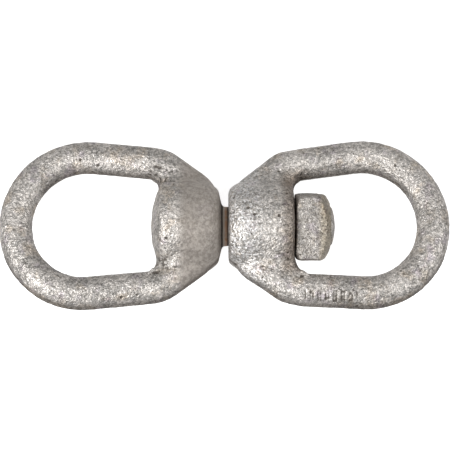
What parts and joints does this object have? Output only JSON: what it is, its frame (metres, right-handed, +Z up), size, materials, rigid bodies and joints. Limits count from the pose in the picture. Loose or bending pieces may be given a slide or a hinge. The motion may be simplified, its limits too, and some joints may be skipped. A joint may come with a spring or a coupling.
{
  "type": "anchor swivel",
  "caption": "Eye-and-eye anchor swivel: a round-bowed eye with a bored hub turns on the shank of a second eye, held by a square nut with a domed crown.",
  "frame": {"origin": "on the surface the swivel lies on, under the middle of its length and under the swivel axis", "axes": "+X along the swivel axis from the shank eye to the bored eye, +Z up; each hub and the +Y arm of each eye rest on the surface"},
  "size_m": [0.1364, 0.0513, 0.0272],
  "materials": {
    "galvanised_forging": "rough hot-dip zinc on a steel forging",
    "galvanised_nut": "rough hot-dip zinc on steel"
  },
  "bodies": {
    "bored_eye": {"bored_eye": "galvanised_forging"},
    "shank_eye": {"shank_eye": "galvanised_forging", "square_nut": "galvanised_nut"}
  },
  "joints": [
    {"name": "swivel", "type": "hinge", "parent": "bored_eye", "child": "shank_eye", "pos_m": [0, 0, 0.0136], "axis": [1, 0, 0], "continuous": true}
  ]
}
